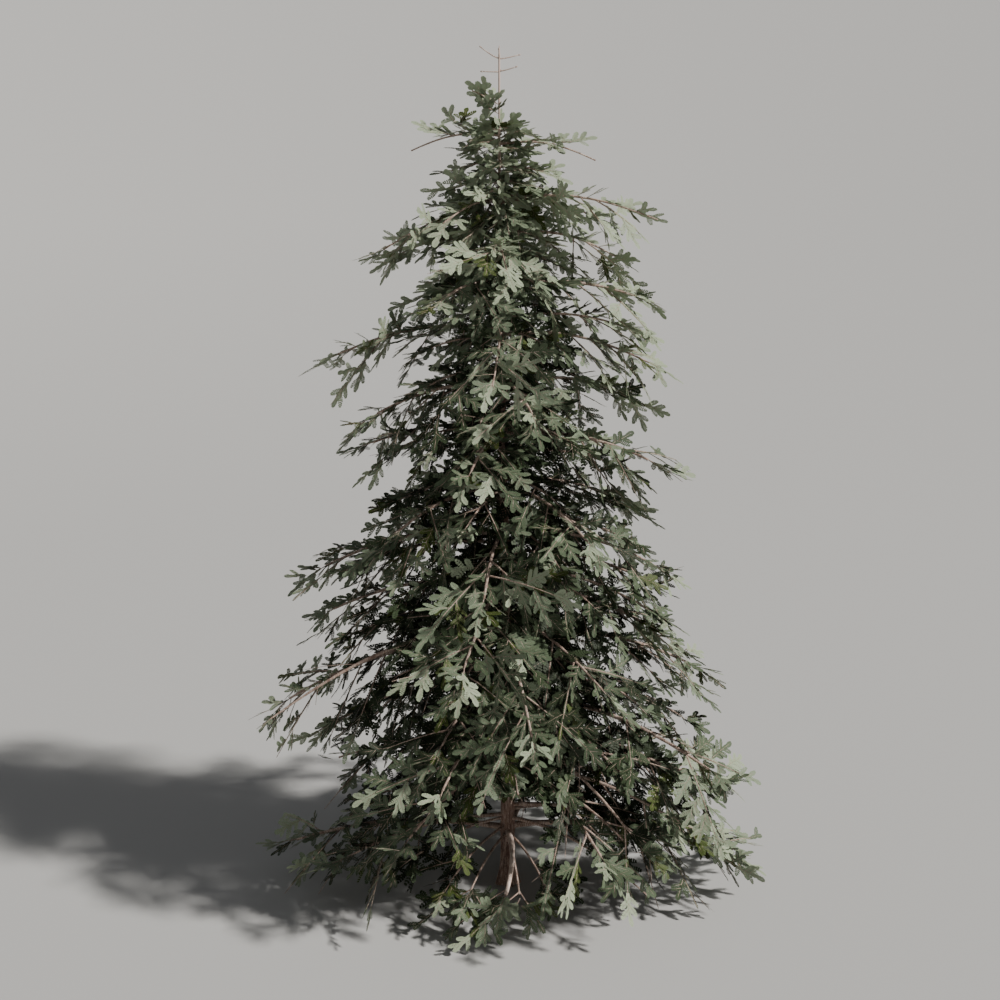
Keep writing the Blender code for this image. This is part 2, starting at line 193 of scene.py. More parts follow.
# %% [markdown]
# Between its strong boughs a fir carries weaker ones. They are what makes the crown dense and dark
# inside. They leave the trunk all the way up, each turned from the last by the golden angle, so no two
# stand over each other. They reach less far than the strong boughs beside them, so they stay inside the
# outline that those draw.

# %% Lesser boughs
LESSER_HEIGHTS = ((0, 0.60), (76, 4.30), (118, 5.45), (122, 5.56))  # which one, and its height
LESSER_SEED = 11
LESSER_SHARE = (0.50, 0.86)  # of the reach and the drop of the strong boughs
LESSER_SWAY = 0.14
LESSER_BARE_LIMB = 0.08
GOLDEN_ANGLE = math.radians(137.5)
CONE_TOP = 5.74
CONE_SLOPE = 0.50
CONE_CORE = 0.05
OPEN_HALF_WIDTH = 45.0  # degrees: the front has no lesser boughs below the height that follows
OPEN_HEIGHT = 1.05


def lesser_boughs():
    """Weaker boughs up the trunk, closer together at the top. Each is a copy of the level it stands nearest
    to, with its own azimuth. Its reach is the crown's there times a random share, within a cone under the
    leader."""
    chance = np.random.default_rng(LESSER_SEED)
    count = LESSER_HEIGHTS[-1][0] + 1
    height = np.interp(np.arange(count), *zip(*LESSER_HEIGHTS)) + chance.uniform(-0.03, 0.03, count)
    azimuth = (GOLDEN_ANGLE * np.arange(count) + chance.uniform(-0.2, 0.2, count)) % (2.0 * np.pi)
    shorter = chance.uniform(*LESSER_SHARE, count)
    nearest = np.abs(height[:, None] - np.array([level.height for level in LEVELS])).argmin(axis=1)
    rows = np.zeros(count, BOUGH_FIELDS)
    rows["level"] = nearest + 1
    rows["azimuth"] = azimuth
    rows["height"] = height
    reach = [reach_at(LEVELS[k], a) for k, a in zip(nearest, azimuth)] * shorter
    cone = CONE_SLOPE * (CONE_TOP - height) * chance.uniform(0.7, 1.1, count)
    rows["reach"] = np.minimum(reach, CONE_CORE + cone)
    rows["drop"] = np.array([LEVELS[k].drop for k in nearest]) * shorter * chance.uniform(0.7, 1.2, count)
    rows["sway"] = chance.uniform(-LESSER_SWAY, LESSER_SWAY, count)
    rows["bare_limb"] = LESSER_BARE_LIMB
    in_front = np.abs(np.degrees(azimuth) - 270.0) < OPEN_HALF_WIDTH
    return rows[~(in_front & (height < OPEN_HEIGHT))]


ODD_FIELDS = ("level", "azimuth", "reach", "height", "drop", "bare_tip", "bare_limb")
ODD_LIMBS = (  # azimuths in degrees
    (9, -4, 1.12, 4.22, 0.16, 0.0, 0.40),
    (7, 188, 0.98, 3.10, 0.28, 0.0, 0.40),
    (6, 182, 1.28, 2.62, 0.26, 0.0, 0.50),
    (5, -4, 1.28, 2.56, 0.34, 0.0, 0.50),
    (5, -20, 1.36, 2.44, 0.36, 0.0, 0.40),
    (3, -6, 1.52, 1.62, 0.38, 0.0, 0.50),
    (4, 174, 1.38, 2.14, 0.38, 0.0, 0.45),
    (3, 190, 1.26, 1.70, 0.40, 0.0, 0.45),
    (3, -22, 1.66, 1.26, 0.36, 0.0, 0.40),
    (2, -28, 1.66, 0.94, 0.30, 0.0, 0.40),
    (1, -16, 1.60, 0.62, 0.22, 0.0, 0.36),
    (1, 204, 1.56, 0.54, 0.20, 0.0, 0.40),
    (2, 192, 1.34, 0.86, 0.30, 0.0, 0.40),
    (12, 184, 0.78, 4.92, 0.24, 0.10, 0.08),
    (12, -8, 1.06, 5.00, 0.12, 0.22, 0.08),
    (1, 250, 1.08, 0.40, 0.24, 0.0, 0.66),
    (1, 276, 1.06, 0.38, 0.22, 0.0, 0.66),
    (4, 200, 1.78, 2.00, 0.50, 0.0, 0.96),
    (2, -40, 1.38, 1.20, 0.70, 0.0, 0.78),
    (1, -35, 1.20, 0.52, 0.27, 0.0, 0.96),
    (1, 238, 1.06, 0.46, 0.28, 0.0, 0.36),
    (1, 216, 1.12, 0.52, 0.20, 0.0, 0.36),
    (1, 292, 1.00, 0.40, 0.24, 0.0, 0.44),
)
STRONG_LIMB = 0.7  # an odd limb that is bare over more than this share is as thick as a strong bough
FRONT_BARE_LIMB = 0.60
FRONT_BEND = 0.09
TOP_BARE_TIP = 0.66


def odd_limbs():
    """Limbs beside the levels. Most fill the crown where the levels leave it thin. Three have lost their
    foliage, one on the left and two on the right in front. Five reach forward close to the ground."""
    rows = np.zeros(len(ODD_LIMBS), BOUGH_FIELDS)
    for name, column in zip(ODD_FIELDS, zip(*ODD_LIMBS)):
        rows[name] = column
    rows["azimuth"] = np.radians(rows["azimuth"])
    rows["main"] = rows["bare_limb"] > STRONG_LIMB
    return rows


BOUGHS = np.concatenate([MAIN_BOUGHS, lesser_boughs(), odd_limbs()])
BOUGHS["bare_limb"][0] = FRONT_BARE_LIMB
BOUGHS["bend"][0] = FRONT_BEND
BOUGHS["bare_tip"][BOUGHS["main"] & (BOUGHS["level"] == len(LEVELS))] = TOP_BARE_TIP
print(len(BOUGHS), "boughs in all")

# %% [markdown]
# The curves of the tree are functions of a share from 0 to 1, worked out for whole arrays at once. A
# bough leaves the trunk level, rises a little in an arch and then hangs. The trunk leans a little and has
# one slow wave.

# %% Curves of trunk and boughs


def unit(vectors):
    """Each vector divided by its length."""
    return vectors / np.linalg.norm(vectors, axis=-1, keepdims=True)


def trunk_centre(height):
    """The lean grows evenly with height, and a sine wave over the whole height is added to it."""
    share = np.asarray(height) / TREE_HEIGHT
    wave = WAVE * np.sin(2.0 * np.pi * share)
    return np.stack([-LEAN * share + wave, WAVE_AHEAD * wave, share * TREE_HEIGHT], axis=-1)


def trunk_radius(height, azimuth=0.0):
    """An even taper, and at the foot a flare that falls with the square of the height, with low ridges."""
    radius = LEADER_RADIUS + (TRUNK_RADIUS - LEADER_RADIUS) * (1.0 - height / TREE_HEIGHT)
    flare = np.maximum(0.0, 1.0 - height / FLARE_HEIGHT) ** 2
    ridges = RIDGE_RELIEF * np.cos(FLARE_RIDGES * azimuth + RIDGE_PHASE)
    return radius + FLARE_SPREAD * flare * (1.0 + ridges)


def bough_point(boughs, share):
    """From the trunk: outwards by reach times share, aside by sway times share squared and by a sine bend,
    up by a sine arch and down by the drop times share to the power 1.35. share has one row for each
    bough."""
    share = share[..., None]
    reach, drop, sway, bend = (boughs[name][:, None, None] for name in ("reach", "drop", "sway", "bend"))
    cosine, sine = np.cos(boughs["azimuth"]), np.sin(boughs["azimuth"])
    out = np.stack([cosine, sine, 0.0 * sine], axis=-1)[:, None]
    aside = np.stack([-sine, cosine, 0.0 * sine], axis=-1)[:, None]
    rise = ARCH * reach * np.sin(np.pi * share) - drop * share**DROP_POWER
    foot = trunk_centre(boughs["height"])[:, None]
    shift = sway * reach * share**2 + bend * np.sin(np.pi * share)
    return foot + out * (reach * share) + aside * shift + UP * rise


def bough_direction(boughs, share):
    """The unit vector from a point just before to a point just after."""
    step = 0.01
    return unit(bough_point(boughs, share + step) - bough_point(boughs, np.maximum(share - step, 0.0)))


def bough_radius(boughs, share):
    """Thick at the trunk in proportion to the reach, and thin at the tip, with an almost even taper."""
    strength = np.where(boughs["main"], 1.0, LESSER_THICKNESS)[:, None]
    start = BOUGH_THICKNESS * boughs["reach"][:, None] * strength + LEAST_RADIUS
    return TWIG_END_RADIUS + (start - TWIG_END_RADIUS) * (1.0 - share) ** BOUGH_TAPER


# %% [markdown]
# ## Making meshes
#
# Every piece is built from arrays. A tube is a ring of points carried along a path. Many tubes of the
# same number of rings are made at once: the arrays just have one more dimension. Each tube is closed by a
# point at both ends.

# %% Mesh helpers


def make_piece(name, points, triangles, finishes, finish_of_face=None, smooth=False):
    """A mesh object from an array of points and an array of triangles, filled in with foreach_set."""
    mesh = bpy.data.meshes.new(name)
    mesh.vertices.add(len(points))
    mesh.vertices.foreach_set("co", points.astype(np.float32).ravel())
    mesh.loops.add(triangles.size)
    mesh.loops.foreach_set("vertex_index", triangles.astype(np.int32).ravel())
    mesh.polygons.add(len(triangles))
    mesh.polygons.foreach_set("loop_start", np.arange(0, triangles.size, 3, dtype=np.int32))
    for finish in finishes:
        mesh.materials.append(finish)
    if finish_of_face is not None:
        mesh.polygons.foreach_set("material_index", finish_of_face.astype(np.int32))
    mesh.polygons.foreach_set("use_smooth", np.full(len(triangles), smooth))
    mesh.update(calc_edges=True)
    piece = bpy.data.objects.new(name, mesh)
    bpy.context.scene.collection.objects.link(piece)
    return piece


def keep(piece, nodes):
    """Every piece rides on the tree's one body, and the plain model's parts that it stands for are hidden."""
    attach(piece, "root")
    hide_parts(*nodes)
    return piece


def ring_triangles(rings, sides):
    """The faces of one closed tube: two triangles for each cell of the grid, and a fan at each end round
    the two points that follow the rings."""
    ring, k = np.meshgrid(np.arange(rings - 1), np.arange(sides), indexing="ij")
    a = (ring * sides + k).ravel()
    b = (ring * sides + (k + 1) % sides).ravel()
    walls = np.concatenate([np.stack([a, b, b + sides], 1), np.stack([a, b + sides, a + sides], 1)])
    k = np.arange(sides)
    following = (k + 1) % sides
    last = (rings - 1) * sides
    foot = np.stack([following, k, np.full(sides, rings * sides)], 1)
    tip = np.stack([last + k, last + following, np.full(sides, rings * sides + 1)], 1)
    return np.concatenate([walls, foot, tip])


def tubes(paths, radii, sides, relief=None):
    """Closed tubes along many paths. Each ring lies square to its path: the path's point, plus the cosine
    of the angle times a side vector, plus the sine times an up vector, times the radius."""
    count, rings = radii.shape[:2]
    along = unit(np.gradient(paths, axis=1))
    steep = np.abs(along[..., 2:]) > 0.97
    side = unit(np.cross(np.where(steep, np.array([1.0, 0.0, 0.0]), UP), along))
    up = np.cross(along, side)
    angle = 2.0 * np.pi * np.arange(sides) / sides
    radius = radii[..., None] if relief is None else radii[..., None] * relief
    ring = side[:, :, None] * np.cos(angle)[:, None] + up[:, :, None] * np.sin(angle)[:, None]
    grid = paths[:, :, None] + ring * radius[..., None]
    ends = np.stack([paths[:, 0], paths[:, -1]], axis=1)
    points = np.concatenate([grid.reshape(count, rings * sides, 3), ends], axis=1)
    faces = ring_triangles(rings, sides)[None] + (np.arange(count) * points.shape[1])[:, None, None]
    return points.reshape(-1, 3), faces.reshape(-1, 3)


def joined(parts):
    """Several pairs of points and triangles as one pair."""
    starts = np.cumsum([0] + [len(points) for points, _ in parts[:-1]])
    points = np.concatenate([points for points, _ in parts])
    return points, np.concatenate([faces + start for (_, faces), start in zip(parts, starts)])


def value_noise(x, y, around, seed):
    """Random numbers on a grid of unit cells, blended between the four nearest with a smooth step. The
    pattern closes on itself after a whole number of cells in x, which suits an angle."""
    table = np.random.default_rng(seed).uniform(-1.0, 1.0, (around, 4096))
    column, row = np.floor(x).astype(int), np.floor(y).astype(int)
    across, along = x - column, y - row
    across, along = across * across * (3.0 - 2.0 * across), along * along * (3.0 - 2.0 * along)
    left, right = column % around, (column + 1) % around
    low = table[left, row % 4096] * (1.0 - across) + table[right, row % 4096] * across
    high = table[left, (row + 1) % 4096] * (1.0 - across) + table[right, (row + 1) % 4096] * across
    return low * (1.0 - along) + high * along


# %% [markdown]
# ## Shader maths as Python
#
# A material is a net of nodes, but its maths reads best as expressions. `Value` wraps a socket that
# carries a number, and `+`, `*` and a number minus it add Math nodes. All other nodes come from
# `Finish.node`.

# %% Shader helper


class Value:
    """A number that changes over a surface: a node's output with Python's operators."""

    def __init__(self, finish, socket):
        self.finish, self.socket = finish, socket

    def _math(self, operation, first, second):
        made = self.finish.node("ShaderNodeMath", {"operation": operation}, {0: first, 1: second})
        return Value(self.finish, made.outputs[0])

    def __add__(self, other):
        return self._math("ADD", self, other)

    def __mul__(self, other):
        return self._math("MULTIPLY", self, other)

    def __rsub__(self, other):
        return self._math("SUBTRACT", other, self)

    __rmul__ = __mul__


class Finish:
    """A material with its Principled shader, and one way to add any other node."""

    def __init__(self, name):
        self.material = bpy.data.materials.new(name)
        self.material.use_nodes = True
        self.tree = self.material.node_tree
        self.shader = self.tree.nodes["Principled BSDF"]

    def node(self, kind, settings, sockets):
        """Adds a node: its settings first, then the value or link of each socket that is named."""
        made = self.tree.nodes.new(kind)
        for name, value in settings.items():
            setattr(made, name, value)
        for name, value in sockets.items():
            self.put(made.inputs[name], value)
        return made

    def put(self, socket, value):
        """Links a socket to a value, or sets it to a plain number or colour."""
        value = value.socket if isinstance(value, Value) else value
        if isinstance(value, bpy.types.NodeSocket):
            self.tree.links.new(value, socket)
        else:
            socket.default_value = value

    def set(self, **values):
        """Values of the Principled shader, by its sockets' names in lower case with underscores."""
        sockets = {socket.name.lower().replace(" ", "_"): socket for socket in self.shader.inputs}
        for name, value in values.items():
            self.put(sockets[name], value)

    def place(self, scale):
        """Object coordinates, stretched by a scale for each axis."""
        coordinates = self.node("ShaderNodeTexCoord", {}, {})
        made = self.node("ShaderNodeMapping", {}, {"Vector": coordinates.outputs["Object"], "Scale": scale})
        return made.outputs[0]

    def noise(self, scale, detail, size):
        """A noise from 0 to 1 with a feature size in metres, over coordinates stretched by a scale."""
        sockets = {"Vector": self.place(scale), "Scale": 1.0 / size, "Detail": detail, "Roughness": 0.55}
        return Value(self, self.node("ShaderNodeTexNoise", {}, sockets).outputs["Fac"])

    def mix(self, share, first, second):
        """One colour where the share is 0 and the other where it is 1."""
        first, second = (c if isinstance(c, bpy.types.NodeSocket) else (*c, 1.0) for c in (first, second))
        return self.node("ShaderNodeMix", {"data_type": "RGBA"}, {0: share, 6: first, 7: second}).outputs[2]

    def smooth(self, value, low, high):
        """A value brought from between low and high to between 0 and 1, with a smooth step."""
        settings = {"interpolation_type": "SMOOTHSTEP"}
        made = self.node("ShaderNodeMapRange", settings, {"Value": value, "From Min": low, "From Max": high})
        return Value(self, made.outputs[0])


# %% [markdown]
# ## Bark
#
# A young silver fir's bark is thin and fairly smooth. It is reddish brown on the trunk, with streaks of a
# pale pinkish tan, and paler on young limbs. A wide noise and a long thin one mix the tones, and the thin
# one gives the bump. Object coordinates are used, so the pattern stays put on the wood. The front bough's
# bark is paler still: painted sunlight on a bough that lies in the shade of the boughs above it.

# %% Bark finishes
YOUNG_WOOD = (4.9, 5.5)  # the heights between which the trunk's bark turns pale


def bark_finish(name, dark, middle, pale, grain, young=None):
    """Bark in three tones, mixed by a wide noise and a long thin one, with a fine bump. The wood of the
    last years, high on the stem, has a paler tone of its own."""
    finish = Finish(name)
    patches = finish.noise((1.0, 1.0, 0.35), 3.0, 0.09 * grain)
    streaks = finish.noise((1.0, 1.0, 0.12), 5.0, 0.012 * grain)
    specks = finish.noise((1.0, 1.0, 1.0), 2.0, 0.006 * grain)
    ground = finish.mix(finish.smooth(patches, 0.38, 0.62), dark, middle)
    relief = streaks * 0.7 + specks * 0.3
    colour = finish.mix(finish.smooth(relief, 0.46, 0.64), ground, pale)
    if young:
        apart = finish.node("ShaderNodeSeparateXYZ", {}, {"Vector": finish.place((1.0, 1.0, 1.0))})
        colour = finish.mix(finish.smooth(Value(finish, apart.outputs["Z"]), *YOUNG_WOOD), colour, young)
    bump = finish.node("ShaderNodeBump", {}, {"Strength": 0.5, "Distance": 0.002 * grain, "Height": relief})
    finish.set(base_color=colour, roughness=0.95 - 0.25 * streaks, normal=bump.outputs[0])
    return finish.material


# Three tones from dark to pale, the size of the grain, and for the trunk the tone of its young wood.
BARKS = {
    "trunk bark": ((0.120, 0.068, 0.050), (0.27, 0.165, 0.125), (0.46, 0.34, 0.28), 1.0, (0.58, 0.45, 0.39)),
    "limb bark": ((0.20, 0.125, 0.095), (0.36, 0.26, 0.21), (0.60, 0.50, 0.43), 0.6),
    "leader bark": ((0.36, 0.25, 0.21), (0.54, 0.42, 0.36), (0.70, 0.61, 0.54), 0.5),
    # The front bough's tones are far paler than the limb bark's: painted sunlight, as the bough lies in
    # shade.
    "front bark with painted sunlight": ((0.46, 0.33, 0.27), (0.70, 0.56, 0.48), (0.85, 0.74, 0.65), 0.5),
}
TRUNK_BARK, LIMB_BARK, LEADER_BARK, FRONT_BARK_PAINTED_LIT = (bark_finish(name, *tones) for name, tones in BARKS.items())
print("bark finishes:", *BARKS)

# %% [markdown]
# The trunk's skin is a grid of angle by height. Its radius is the plain one, plus relief: long shallow
# furrows that fade upwards, low resin blisters, and a swollen collar wherever a bough leaves. The collar
# is what makes boughs look grown and not stuck on.

# %% Trunk
TRUNK_SIDES = 72
TRUNK_RINGS = 620
LAST_RING = 1.0 - 0.0015  # of the height, just under the point
FURROWS = ((18, 0.085, 1, 0.6), (36, 0.03, 2, 0.4))  # cells round the trunk, a cell's height, seed, share
FURROW_DEPTH = 0.0022
BLISTERS = (24, 0.018, 3)  # cells round the trunk, a cell's height, seed
BLISTER_START = 0.62  # of the noise's greatest value
BLISTER_HEIGHT = 0.0016
COLLAR_SIZE = 1.5  # of the bough's radius
COLLAR_HEIGHT = 0.42  # of the bough's radius
LEADER_WOOD = 0.0068  # the leader's least radius, as far as its pointed end
LEADER_POINT = 0.06


def bark_noise(angle, height, cells, size, seed):
    """Noise on the trunk, with a whole number of cells round it and a size up it."""
    return value_noise(angle / (2 * np.pi) * cells, height / size, cells, seed)


def trunk_skin():
    """A grid of points: the trunk's middle, plus the radius in the direction of the angle. The radius is
    the plain radius plus furrows, blisters and collars. Every term is a function of angle and height."""
    height = TREE_HEIGHT * LAST_RING * np.linspace(0.0, 1.0, TRUNK_RINGS)
    angle = 2.0 * np.pi * np.arange(TRUNK_SIDES) / TRUNK_SIDES
    h, a = np.meshgrid(height, angle, indexing="ij")
    radius = np.maximum(trunk_radius(h, a), LEADER_WOOD * np.clip((TREE_HEIGHT - h) / LEADER_POINT, 0.0, 1.0))
    furrows = sum(share * bark_noise(a, h, cells, size, seed) for cells, size, seed, share in FURROWS)
    radius = radius + FURROW_DEPTH * furrows * radius / TRUNK_RADIUS
    blisters = np.maximum(0.0, bark_noise(a, h, *BLISTERS) - BLISTER_START) / (1.0 - BLISTER_START)
    radius = radius + BLISTER_HEIGHT * blisters * radius / TRUNK_RADIUS
    roots = bough_radius(BOUGHS, np.zeros((len(BOUGHS), 1)))[:, 0]
    for bough, root in zip(BOUGHS, roots):
        turn = (a - bough["azimuth"] + np.pi) % (2.0 * np.pi) - np.pi
        away = np.hypot(turn * radius, h - bough["height"]) / (COLLAR_SIZE * root)
        radius = radius + COLLAR_HEIGHT * root * np.exp(-(away**2))
    grid = trunk_centre(h)
    grid[..., 0] += radius * np.cos(a)
    grid[..., 1] += radius * np.sin(a)
    ends = np.stack([trunk_centre(0.0), trunk_centre(TREE_HEIGHT)])
    return np.concatenate([grid.reshape(-1, 3), ends]), ring_triangles(TRUNK_RINGS, TRUNK_SIDES)


def bud(points, along, size):
    """A small pointed bud at each point: a short tube whose radius swells and closes."""
    share = np.array([0.0, 0.3, 0.65, 1.0])
    paths = points[:, None] + along[:, None] * (share[:, None] * size - 0.2 * size)
    radii = np.broadcast_to(np.array([0.20, 0.34, 0.28, 0.05]) * size, (len(points), 4))
    return tubes(paths, radii, 6)


LEADER_TWIGS = (  # height, azimuth in degrees, length, rise
    (5.915, 176, 0.120, 0.070),
    (5.912, 8, 0.130, 0.026),
    (5.918, 268, 0.090, 0.045),
    (5.830, 182, 0.112, 0.002),
    (5.834, 352, 0.110, 0.026),
    (5.827, 84, 0.100, 0.020),
)
LEADER_TWIG_RADII = (0.0048, 0.0032)
BUD_LENGTH = 0.018


def leader_twigs():
    """The bare twigs under the leader's tip: straight out, and up with the share to the power 1.35."""
    height, azimuth, length, rise = (np.array(column) for column in zip(*LEADER_TWIGS))
    azimuth = np.radians(azimuth)
    share = np.linspace(0.0, 1.0, 7)
    out = np.stack([np.cos(azimuth), np.sin(azimuth), 0.0 * azimuth], axis=-1)
    paths = trunk_centre(height)[:, None] + out[:, None] * (length[:, None] * share)[..., None]
    paths = paths + UP * (rise[:, None] * share**DROP_POWER)[..., None]
    radii = np.broadcast_to(np.linspace(*LEADER_TWIG_RADII, 7), (len(height), 7))
    tips = bud(paths[:, -1], unit(paths[:, -1] - paths[:, -2]), BUD_LENGTH)
    return joined([tubes(paths, radii, 7), tips])


trunk = make_piece("trunk_bark", *trunk_skin(), [TRUNK_BARK], smooth=True)
leader = make_piece("leader_twigs", *leader_twigs(), [LEADER_BARK], smooth=True)
for piece in (trunk, leader):
    keep(piece, ["trunk"])
print("trunk:", len(trunk.data.polygons), "triangles")

# %% [markdown]
# ## Boughs
#
# A bough's wood is a tube along its curve. Its root starts inside the trunk's collar. A slow noise makes
# the radius uneven, as knots and old twig scars do.

# %% Boughs
BOUGH_RINGS = 32
TIP_ROOM = 0.31
MOST_TIP_ROOM = 0.45  # of the reach
BARE = 0.9  # a limb that is bare over more than this share has no spray at all
ROOT_SWELL, ROOT_SWELL_END = 0.25, 0.03
KNOT_SIZE, KNOT_RELIEF = 0.03, 0.13
STRONG_SIDES, LESSER_SIDES, FRONT_SIDES = 10, 7, 14
FRONT_SWELL = 1.75  # the front bough is thicker than the rest


def tip_room(boughs):
    """The share of each bough that its end spray takes up: a set length over the reach, at most 0.45, and
    nothing where the tip or the whole limb is bare."""
    has_spray = (boughs["bare_tip"] == 0.0) & (boughs["bare_limb"] < BARE)
    return np.minimum(TIP_ROOM / boughs["reach"], MOST_TIP_ROOM) * has_spray


def bough_skins(boughs, sides, seed, swell=1.0):
    """Tubes along the boughs, from inside the trunk to the tip, with noise over angle and length."""
    shares = np.linspace(0.0, 1.0, BOUGH_RINGS) * (1.0 - tip_room(boughs))[:, None]
    paths = bough_point(boughs, shares)
    radii = swell * bough_radius(boughs, shares) * (1.0 + ROOT_SWELL * np.exp(-shares / ROOT_SWELL_END))
    chance = np.random.default_rng(seed)
    row = shares * boughs["reach"][:, None] / KNOT_SIZE + chance.uniform(0, 4000, (len(boughs), 1))
    column, row = np.broadcast_arrays(np.arange(sides) * 1.0, row[..., None])
    relief = 1.0 + KNOT_RELIEF * value_noise(column, row, sides, seed)
    return tubes(paths, radii, sides, relief)


def level_nodes(level, kind="foliage"):
    """The names of the plain model's nodes of one level."""
    return sorted(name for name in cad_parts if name.startswith(f"{kind}_{level:02d}_"))


for level in range(1, len(LEVELS) + 1):
    own = BOUGHS[1:][BOUGHS["level"][1:] == level]
    groups = ((own[own["main"]], STRONG_SIDES, 100 + level), (own[~own["main"]], LESSER_SIDES, 200 + level))
    parts = [bough_skins(*group) for group in groups if len(group[0])]
    wood = make_piece(f"boughs_{level:02d}", *joined(parts), [LIMB_BARK], smooth=True)
    keep(wood, level_nodes(level, "bough") + level_nodes(level))
# The front bough has its own bark, with sunlight painted into its pale tones.
front_skin = bough_skins(BOUGHS[:1], FRONT_SIDES, 99, FRONT_SWELL)
front = make_piece("front_bough", *front_skin, [FRONT_BARK_PAINTED_LIT], smooth=True)
keep(front, ["bough_01_a", "foliage_01_a"])
print("the front bough:", len(front.data.polygons), "triangles, the topmost:", len(wood.data.polygons))

# %% [markdown]
# ## Branches
#
# On both sides of each bough, branches lean forward and hang. The plain model has a few of them, larger
# than life, and here the same rule deals out many more, and goes on to twigs and shoots. All of these are
# stems. A stem is known by its root, the direction along it, the direction across the flat spray that it
# carries, and its length.

# %% Branches
BRANCH_SPACING = 0.105
BRANCH_LENGTHS = (0.22, 0.46)  # of half a turn of the sine: its start, and how far it goes on
BRANCH_SHARE = 0.92
END_BRANCH = 0.15
BRANCH_TURN = (66.0, 22.0)  # degrees to the bough at its root, and how much less at its tip
BRANCH_HANG = ((0.4, 1.0, 2.2, 4.2, 5.2, 5.45, 5.62), (-8.0, 4.0, 2.0, -2.0, -4.0, -30.0, -34.0))
INNER_HANG = 40.0  # degrees more where the branches start
HANG_JITTER = (-22.0, 18.0)
SIDE_ROLL, ROLL_JITTER = 40.0, 38.0
STEM_SAG = 0.10
Stems = namedtuple("Stems", "bough root along across length")


def pick(rows, which):
    """The same rows of every field."""
    return type(rows)(*(field[which] for field in rows))


def together(*groups):
    """Several groups as one."""
    return type(groups[0])(*(np.concatenate(fields) for fields in zip(*groups)))


def spread_out(counts):
    """For counts such as 2 and 3: whose turn it is (0 0 1 1 1), and which one of its own (0 1 0 1 2)."""
    owner = np.repeat(np.arange(len(counts)), counts)
    return owner, np.arange(counts.sum()) - np.repeat(np.cumsum(counts) - counts, counts)


def turned(along, across, angle):
    """A vector turned in the plane of two: the cosine times the one plus the sine times the other."""
    return along * np.cos(angle)[..., None] + across * np.sin(angle)[..., None]


def seat(boughs, share):
    """Where a stem sits on a bough: the point, the bough's direction there, and the level way aside."""
    direction = bough_direction(boughs, share[:, None])[:, 0]
    return bough_point(boughs, share[:, None])[:, 0], direction, unit(np.cross(UP, direction))


def spray_across(up, along, roll):
    """The way across a spray: square to an up vector and the stem, and then turned round the stem."""
    across = unit(np.cross(up, along))
    return turned(across, np.cross(along, across), np.radians(roll))


def branches_of(boughs, seed):
    """Branches at even steps along each bough, left and right in turn, the last one straight on. Their
    length follows a sine that is widest about three fifths of the way. They lean forward more towards the
    tip of the bough, hang more near the trunk, and hang by their height on the tree."""
    chance = np.random.default_rng(seed)
    longest = SPRAY_LENGTH + SPRAY_GROWTH * boughs["reach"]
    last = 1.0 - np.maximum(boughs["bare_tip"], tip_room(boughs))
    first = np.minimum(np.maximum(boughs["bare_limb"] + 0.02, 0.08), last - 0.02)
    counts = np.maximum(3, ((last - first) * boughs["reach"] / BRANCH_SPACING).astype(int))
    counts[boughs["bare_limb"] > BARE] = 0
    owner, rank = spread_out(counts)
    fullness = (rank + chance.uniform(0.15, 0.85, len(rank))) / counts[owner]
    is_end = rank == counts[owner] - 1
    share = np.where(is_end, last[owner], first[owner] + (last - first)[owner] * fullness)
    side = np.where(is_end, 0.0, np.where(rank % 2 == 0, 1.0, -1.0))
    swell = np.sin(np.pi * (BRANCH_LENGTHS[0] + BRANCH_LENGTHS[1] * fullness))
    length = longest[owner] * swell * chance.uniform(0.72, 1.10, len(rank))
    length = np.where(is_end, END_BRANCH, BRANCH_SHARE * length)
    length = np.minimum(length, 0.02 + 0.40 * boughs["reach"][owner])

    root, direction, aside = seat(boughs[owner], share)
    turn = side * (BRANCH_TURN[0] - BRANCH_TURN[1] * share) + chance.uniform(-10, 10, len(rank))
    along = turned(direction, aside, np.radians(turn))
    hang = np.interp(boughs["height"][owner], *BRANCH_HANG)
    hang = hang + np.where(is_end, 0.0, INNER_HANG * (1.0 - fullness))
    hang = hang + chance.uniform(*HANG_JITTER, len(rank)) * np.where(is_end, 0.4, 1.0)
    along = unit(turned(along, -UP, np.radians(hang)))
    roll = side * SIDE_ROLL + chance.uniform(-ROLL_JITTER, ROLL_JITTER, len(rank))
    return Stems(owner, root, along, spray_across(UP, along, roll), length)


def stem_point(stems, share):
    """Straight ahead by the length times the share, and down by a tenth of the length times share squared."""
    ahead = (stems.length[:, None] * share)[..., None]
    sag = (STEM_SAG * stems.length[:, None] * share**2)[..., None]
    return stems.root[:, None] + stems.along[:, None] * ahead - UP * sag


BRANCHES = branches_of(BOUGHS, 21)
print(len(BRANCHES.length), "branches, mean length", round(float(BRANCHES.length.mean()), 3), "m")

# %% [markdown]
# ## Twigs and shoots
#
# A branch carries twigs as a bough carries branches, and a twig carries shoots, the youngest wood. Each
# step is a flat fan, because a fir spreads its shoots to catch the light. One function grows both: it
# sets stems left and right of each parent in turn, in the plane of the parent's spray, and turns the
# plane a little each time.

